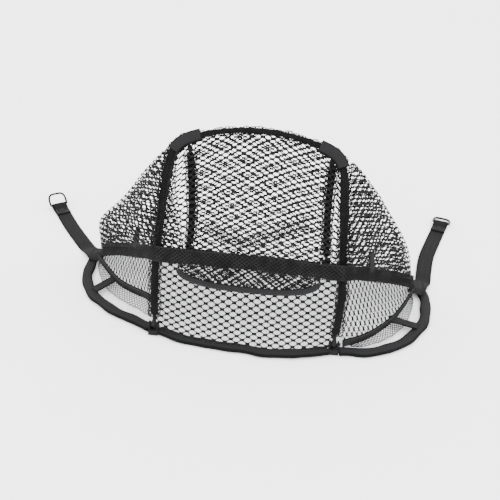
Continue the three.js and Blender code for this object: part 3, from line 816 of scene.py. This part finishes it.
hoodSide = {
    "apex": (122, 29, 238),
    "foot": (
        (132, -60, 100), (152, -36, 96), (196, 10, 62), (244, 56, 26), (247, 74, 12), (238, 86, 9),
        (214, 94, 8), (182, 99, 8), (154, 102, 8), (124, 104, 8),
    ),
    "near": 0.06,
    "slack": {"left": 17, "right": 4},
    "layers": ((0, math.pi / 2), (7, math.pi / 2 + 0.12)),
}
for side, sign in sides.items():

    def sideSwell(mark, share, sign=sign, side=side):
        billow = np.sin(np.pi * np.clip(share, 0, 1))
        slack = np.exp(-(((share - 0.8) / 0.16) ** 2)) * np.sin(np.pi * mark)
        out = (8 + 6 * np.sin(np.pi * mark)) * billow + hoodSide["slack"][side] * slack
        wave = ripple(300 * mark, 200 * share, 1.6)
        return spot(sign * (out + wave), 0, 0.4 * out)

    layers = []
    for inset, turn in hoodSide["layers"]:

        def layerSwell(mark, share, inset=inset, sideSwell=sideSwell, sign=sign):
            return sideSwell(mark, share) - spot(sign * inset * np.sin(np.pi * share), 0, 0)

        apex = (sign * hoodSide["apex"][0], *hoodSide["apex"][1:])
        foot = [(sign * x, y, z) for x, y, z in hoodSide["foot"]]
        layers.append(
            coneNet(
                "hood_side.layer", apex, foot, hoodSide["near"], 1.0, netCell, twine["side"],
                netTwine, layerSwell, turn=turn,
            )
        )
    piece = joinPieces("hood_" + side + "_net.made", layers)
    finishBending(piece, "net", side, "hood_" + side + "_net")

# Entrance lips and dividers, which the lower side nets follow

entrance = {
    "lip": {
        "left": (
            (-252, 52, 14), (-212, 1, 14), (-196, -16, 15), (-168, -38, 20), (-142, -60, 28),
            (-128, -84, 34),
        ),
        "right": (
            (249, 52, 13), (232, 12, 12), (213, -25, 12), (186, -60, 11.5), (163, -81, 11.5),
            (138, -97, 12.5),
        ),
    },
    "divider": {
        "left": ((-206, 2, 12), (-219, -13, 10), (-233, -31, 8)),
        "right": ((206, -27, 11), (226, -32, 10), (247, -36, 8.5)),
    },
    "lipWidth": 11.5, "dividerWidth": 15, "thickness": 2,
}
lipLines = {side: smoothLine(entrance["lip"][side]) for side in sides}

lowerSide = {
    "apex": (246, 54, 20),
    "foot": {
        "left": ((-130, -90, 30), (-132, -80, 54), (-131, -66, 80), (-130, -56, 100)),
        "right": ((131, -98, 14), (131, -88, 40), (130, -68, 76), (129, -56, 100)),
    },
}
for side, sign in sides.items():

    def lowSwell(mark, share, sign=sign, side=side):
        out = 3 * np.sin(np.pi * np.clip(share, 0, 1))
        corner = np.array((sign * lowerSide["apex"][0], *lowerSide["apex"][1:]), float)
        straight = corner + (np.array(lowerSide["foot"][side][0]) - corner) * share[:, None]
        toLip = (lineAt(lipLines[side], share) - straight) * ((1 - mark) ** 1.6)[:, None]
        return spot(sign * out, -out, 0) * mark[:, None] + toLip

    piece = coneNet(
        "lower_" + side + "_net.made", (sign * lowerSide["apex"][0], *lowerSide["apex"][1:]),
        lowerSide["foot"][side], 0.05, 1.0, (13, 8.4), twine["lowerSide"], netTwine, lowSwell,
        turn=math.pi / 2,
    )
    finishBending(piece, "net", "lower" + side.capitalize(), "lower_" + side + "_net")

# A loose fold of netting inside the back wall

backFold = {
    "line": (
        (-89, 97, 59), (-60, 101, 43), (-28, 104, 33), (14, 101, 48), (47, 95, 71), (73, 90, 88),
    ),
    "width": 17, "height": 5, "cell": (5.6, 4.6),
}
foldLine = smoothLine(backFold["line"])
fold = sleeveNet(
    "back_fold.made", foldLine, 0, 1, backFold["width"], backFold["height"], backFold["cell"],
    netTwine, (0, -0.9, 0.3), 1.3,
)
finishBending(fold, "net", "back", "back_net")
print("net panels made")

# Fine floor net

floorNet = {
    "reach": (530, 236), "shift": 8, "pitchX": 9, "pitchY": 3.4, "inset": 5, "height": 1.4,
    "thread": 0.3,
}


def addFloorNet():
    reach = floorNet["reach"]
    columns, rows = round(reach[0] / floorNet["pitchX"]), round(reach[1] / floorNet["pitchY"])
    piece = startGrid("floor_net.made", columns, rows)
    u, v = gridShares(piece)
    x, y = reach[0] * (u - 0.5), reach[1] * (v - 0.5) - floorNet["shift"]
    outline = np.array(hoopLine["path"])
    bearing = np.arctan2(outline[:, 1], outline[:, 0])
    order = np.argsort(bearing)
    rimAt = np.interp(
        np.arctan2(y, x), bearing[order], np.hypot(outline[:, 0], outline[:, 1])[order],
        period=2 * np.pi,
    )
    size = np.hypot(x, y)
    limit = rimAt - floorNet["inset"]
    inside = size < limit
    pull = np.minimum(1, limit / np.maximum(size, 1e-6))
    mesh = piece.data
    for part in (*mesh.vertices, *mesh.edges, *mesh.polygons):
        part.select = False
    for face in mesh.polygons:
        face.select = not any(inside[i] for i in face.vertices)
    setPoints(piece, spot(x * pull, y * pull, floorNet["height"] + 0 * x))
    bpy.ops.object.mode_set(mode="EDIT")
    bpy.ops.mesh.select_mode(type="FACE")
    bpy.ops.mesh.delete(type="FACE")
    bpy.ops.object.mode_set(mode="OBJECT")
    strand = piece.modifiers.new("strand", "WIREFRAME")
    strand.thickness = floorNet["thread"] * mm
    strand.use_even_offset = False
    strand.use_relative_offset = False
    strand.offset = 0
    applyModifiers(piece)
    setMaterial(piece, fineTwine)
    smoothFaces(piece)
    return piece


piece = addFloorNet()
finishRigid(piece, "base", "fine_net", "floor_net")
print("floor net made")

# Waist band: a thick mesh strip over a near-black backing, the second layer with its shade painted
# in, in three runs split at the legs

band = {"height": 21, "cell": (6.6, 5.2), "thread": 1.05}


def bandFrame(share):
    ahead = headingAt(bandLine, share)
    across = np.array(bandAcross, float)
    across = unit(across - ahead * np.sum(ahead * across, -1, keepdims=True))
    normal = unit(np.cross(ahead, across))
    return lineAt(bandLine, share), across, normal


def placeBand(share, v):
    centre, across, normal = bandFrame(share)
    height = band["height"] * (0.72 + 0.28 * np.sin(np.pi * np.clip(share, 0, 1)) ** 0.5)
    shift = 1.2 * np.sin(share * bandLine["length"] / 23)
    return centre + across * (height * (v - 0.5) + shift)[:, None] + normal * 1.6


def addBand(name, start, end):
    columns = round(bandLine["length"] * (end - start) / band["cell"][0])
    mesh = addNet(
        "band.mesh", columns, 4, lambda u, v: placeBand(start + (end - start) * u, v),
        band["thread"], denseTwine, rounded=False,
    )
    # painted shade: the near-black backing makes the holes in the band mesh read dark
    backing = addTape(
        "band.backing", bandLine, start, end, band["height"] - 1, 1.4, columns, paintedShadeCloth,
        widthway=bandAcross,
    )
    return joinPieces(name, [mesh, backing])


legShare = shareNear(bandLine, -127, -64)
bandRuns = {
    "left": (0.004, legShare), "middle": (legShare, 1 - legShare), "right": (1 - legShare, 0.996),
}
for run, (start, end) in bandRuns.items():
    piece = addBand("waist_band_" + run + ".made", start, end)
    # a 20 mm mesh over a 20 mm backing (near-black, painted shade), so 40 mm of cloth in all
    if run == "middle":
        finishRigid(piece, "front_bow", "net", "waist_band")
    else:
        finishBending(piece, "net", run, "waist_band")
print("band made")

# Bait pocket: a half-moon of doubled net with a bound edge

pocket = {"halfWidth": 100, "drop": 20, "standOff": 5, "trim": 9}


def pocketDrop(x, margin):
    reach = np.clip(np.abs(x) / (pocket["halfWidth"] - margin), 0, 1)
    return (pocket["drop"] - margin) * np.sqrt(np.maximum(1 - reach**3, 0))


def pocketPoint(x, down, standOff):
    return lowerFrontPoint(x, 1 - (down + 1.5) / 90) + spot(0, -standOff, -2)


def placePocket(u, v, standOff=5):
    x = 98 * (2 * u - 1)
    down = -6 + (pocketDrop(x, 3) + 6) * v
    return pocketPoint(x, down, standOff)


outer = addNet("pocket.outer", 20, 4, placePocket, twine["pocket"], netTwine)
inner = addNet(
    "pocket.inner", 23, 5, lambda u, v: placePocket(u, v, 2.5), twine["pocket"], netTwine
)
piece = joinPieces("bait_pocket_net.made", [outer, inner])
finishRigid(piece, "front_bow", "net", "bait_pocket_net")
angles = np.linspace(-math.pi / 2, math.pi / 2, 31)
trimX = (pocket["halfWidth"] - 4.5) * np.sin(angles)
trimPoints = pocketPoint(trimX, pocketDrop(trimX, 4.5), 5.5)
trimLine = smoothLine(trimPoints, perSpan=6)
piece = addTape(
    "bait_pocket_trim.made", trimLine, 0, 1, pocket["trim"], 2.6, 90, bindingTape,
    normal=(0, -0.9, 0.43),
)
piece = sewn(piece, *seamAlong(trimLine, 0.01, 0.99, 2.9, 1.25, normal=(0, -0.9, 0.43)))
finishRigid(piece, "front_bow", "webbing", "bait_pocket_trim")
print("pocket made")

# Entrance webbing, flaps, tabs and gussets

for side, sign in sides.items():
    lip = lipLines[side]
    piece = addTape(
        side + "_entrance_webbing.made", lip, 0, 1, entrance["lipWidth"], entrance["thickness"],
        44, bindingTape, widthway=(0, 0.25, 0.97),
    )
    seams = [
        seamAlong(lip, 0.04, 0.97, slide, rise, widthway=(0, 0.25, 0.97))
        for slide in (-3.6, 3.6) for rise in (-1.0, 1.0)
    ]
    piece = sewn(piece, *[np.vstack(part) for part in zip(*seams)])
    finishSoft(piece, "webbing", side + "_entrance_webbing")
    divider = smoothLine(entrance["divider"][side])
    piece = addTape(
        side + "_entrance_divider.made", divider, 0, 1, entrance["dividerWidth"],
        entrance["thickness"], 12, bindingTape,
    )
    finishSoft(piece, "webbing", side + "_entrance_divider")

    def placeFlap(u, v, lip=lip, sign=sign):
        start = lineAt(lip, 0.06 + 0.88 * u)
        depth = (4 + 16 * np.sin(np.pi * u) ** 0.7) * v
        outward = spot(sign * 0.66, -0.6, 0) * depth[:, None]
        drop = (start[:, 2] - 5) * v
        wave = 1.2 * np.sin(40 * u + 3 * v)
        return start + outward - spot(0, 0, drop + wave * v * 0.5)

    piece = addNet(side + "_entrance_flap.made", 30, 4, placeFlap, 0.9, netTwine, rounded=False)
    finishSoft(piece, "net", side + "_entrance_flap")
    tab = smoothLine([(sign * 171, -17, 82), (sign * 169, -15, 97), (sign * 167, -13, 112)])
    piece = addTape(
        side + "_band_tab.made", tab, 0, 1, 11, 2.2, 12, bindingTape,
        widthway=(sign * 0.68, 0.73, 0),
    )
    finishBending(piece, "webbing", side, side + "_band_tab")
    gusset = smoothLine([(sign * 255, 44, 9.1), (sign * 257, 62, 9.3), (sign * 257, 78, 9.1)])
    piece = addTape(side + "_corner_gusset.made", gusset, 0, 1, 18, 1.8, 12, bindingTape)
    finishRigid(piece, "base", "webbing", side + "_corner_gusset")
print("webbing made")

# End straps: one length of webbing each, folded round the ring's bar and sewn back on itself

strap = {
    "left": ((-280, 88), (-298, 110), (-327, 148), (-354, 187), (-371, 211)),
    "right": ((268, 90), (273, 120), (282, 166), (301, 226), (320, 283)),
    "tail": {
        "left": ((-252, 50, 9.8), (-261, 62, 9.2), (-270, 75, 5.5)),
        "right": ((250, 44, 9.8), (256, 58, 9.4), (262, 75, 6)),
    },
    "width": 25, "thickness": 1.7, "loopRadius": 3.3, "foldBack": 30, "barHeight": 4.1,
    "boxNear": 9, "boxFar": 4, "boxHalf": 9.5, "boxPitch": 3.4,
}


def strapPath(side):
    tail = [np.array(p) for p in strap["tail"][side]]
    route = tail + [np.array((x, y, 0.95)) for x, y in strap[side]]
    heading = unit(route[-1] - route[-2])
    bar = route[-1] * (1, 1, 0) + np.array((0, 0, strap["barHeight"]))
    radius = strap["loopRadius"]
    turns = [
        bar + radius * (heading * math.sin(t) - np.array((0, 0, 1)) * math.cos(t))
        for t in (0.1, 0.8, 1.57, 2.3, 3.0)
    ]
    back = [
        bar - heading * d + np.array((0, 0, z))
        for d, z in ((7, 1.2), (14, -1.0), (strap["foldBack"], -1.3))
    ]
    return smoothLine([*route[:-1], *turns, *back])


for side, sign in sides.items():
    path = strapPath(side)
    heading = np.array(strap[side][-1]) - np.array(strap[side][0])
    piece = addTape(
        side + "_strap.made", path, 0, 1, strap["width"], strap["thickness"], 130,
        strapWebbing, widthway=(heading[1], -heading[0], 0),
    )
    near, far, half = strap["boxNear"], strap["foldBack"] - strap["boxFar"], strap["boxHalf"]
    ahead = unit(np.array((*(np.array(strap[side][-1]) - np.array(strap[side][-2])), 0.0)))
    aside = np.array((ahead[1], -ahead[0], 0.0))
    bar = np.array((*strap[side][-1], strap["barHeight"]))
    box = [
        bar - ahead * a + aside * b
        for a, b in ((near, -half), (near, half), (far, half), (far, -half), (near, -half))
    ]
    spots, headings = [], []
    for first, last in [*zip(box, box[1:]), (box[0], box[2]), (box[1], box[3])]:
        count = int(np.linalg.norm(last - first) / strap["boxPitch"])
        for step in range(count):
            spots.append(first + (last - first) * (step + 0.5) / count - (0, 0, 0.45))
            headings.append(last - first)
    piece = sewn(piece, spots, headings)
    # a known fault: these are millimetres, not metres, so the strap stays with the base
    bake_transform(piece)
    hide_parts(side + "_strap")
print("straps made")

# Studio

studio = {
    "floor": (0.96, 0.96, 0.96), "floorSize": 12, "floorDrop": 0.0006, "world": 4.4, "key": 8.0,
    "keyPlace": (-0.5, -0.9, 1.6), "keySize": 1.6, "keyAim": (0, 0, 0.1),
}


def addStudio():
    bpy.ops.object.select_all(action="DESELECT")
    bpy.ops.mesh.primitive_plane_add(
        size=studio["floorSize"], location=(0, 0, -studio["floorDrop"])
    )
    floor = bpy.context.object
    floor.name = "studio_floor"
    material, shader = startMaterial("studioFloor", studio["floor"], 0.9, specular=0.1)
    setMaterial(floor, material)
    world = bpy.data.worlds.new("studioWorld")
    world.use_nodes = True
    world.node_tree.nodes["Background"].inputs["Color"].default_value = (1, 1, 1, 1)
    world.node_tree.nodes["Background"].inputs["Strength"].default_value = studio["world"]
    bpy.context.scene.world = world
    bpy.ops.object.light_add(type="AREA", location=studio["keyPlace"])
    light = bpy.context.object
    light.data.energy = studio["key"]
    light.data.size = studio["keySize"]
    aim = Vector(studio["keyAim"]) - light.location
    light.rotation_euler = aim.to_track_quat("-Z", "Y").to_euler()


addStudio()
print("studio ready")
